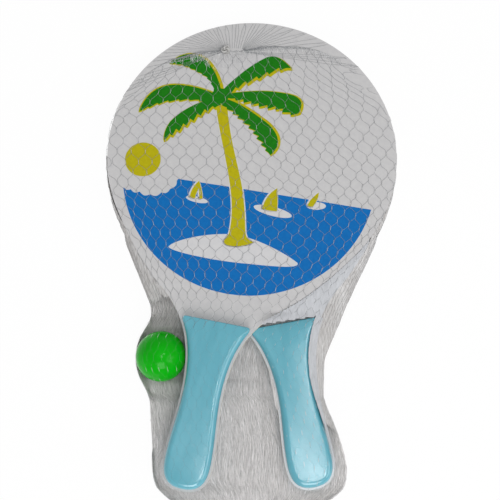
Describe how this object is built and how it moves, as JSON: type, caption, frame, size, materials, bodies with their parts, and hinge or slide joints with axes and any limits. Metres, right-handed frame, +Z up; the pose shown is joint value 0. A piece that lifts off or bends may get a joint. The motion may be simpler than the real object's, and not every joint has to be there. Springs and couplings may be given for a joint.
{
  "type": "beach paddle set",
  "caption": "Flat wooden beach paddles with round blades and lacquered grips, laid one on the other with splayed handles, and a hollow ball, packed in a gathered net sleeve.",
  "frame": {"origin": "middle of the set's footprint, on the floor it lies on", "axes": "+Z up out of the printed faces, +Y towards the round end of the blades, handles towards -Y, +X to the right with the handles nearest the viewer"},
  "size_m": [0.2444, 0.4518, 0.0442],
  "materials": {
    "core_wood": "raw ply edge",
    "veneer_wood": "raw ply edge",
    "white_print": "satin printed film",
    "blue_lacquer": "glossy lacquer",
    "ball_green": "gloss",
    "net_white": "extruded white thread",
    "clip_metal": "bright"
  },
  "bodies": {
    "pack": {"front_core_ply": "core_wood", "front_front_veneer": "veneer_wood", "front_back_veneer": "veneer_wood", "front_front_face_sheet": "white_print", "front_back_face_sheet": "white_print", "front_front_cheek": "blue_lacquer", "front_back_cheek": "blue_lacquer", "back_core_ply": "core_wood", "back_front_veneer": "veneer_wood", "back_back_veneer": "veneer_wood", "back_front_face_sheet": "white_print", "back_back_face_sheet": "white_print", "back_front_cheek": "blue_lacquer", "back_back_cheek": "blue_lacquer", "net_sleeve": "net_white", "top_knot": "net_white", "crimp_clip": "clip_metal", "net_tail": "net_white"},
    "ball": {"ball_upper_half": "ball_green", "ball_lower_half": "ball_green"}
  },
  "joints": [
    {"name": "ball_spin", "type": "hinge", "parent": "pack", "child": "ball", "pos_m": [-0.07133, -0.06341, 0.02176], "axis": [0, 0, 1], "continuous": true}
  ]
}
